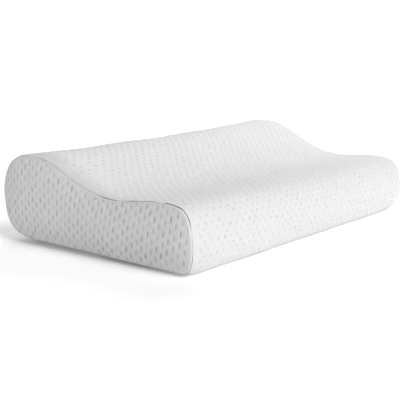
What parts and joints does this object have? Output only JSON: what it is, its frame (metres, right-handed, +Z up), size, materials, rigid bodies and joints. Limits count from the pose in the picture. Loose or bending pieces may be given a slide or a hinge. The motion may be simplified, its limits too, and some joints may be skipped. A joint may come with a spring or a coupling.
{
  "type": "cervical pillow",
  "caption": "Contour pillow with a low front lobe, a shallow dip and a high back lobe, in a white dimple-knit cover with sewn end panels.",
  "frame": {"origin": "middle of the flat base, on the surface that the pillow lies on", "axes": "+X along the pillow's length, +Y from the low front lobe towards the high back lobe, +Z up"},
  "size_m": [0.5, 0.2983, 0.116],
  "materials": {
    "knit_wrap": "matte dimpled knit",
    "knit_end": "matte dimpled knit"
  },
  "bodies": {
    "root": {"pillow_body": "knit_wrap", "end_panel_left": "knit_end", "end_panel_right": "knit_end"}
  },
  "joints": []
}
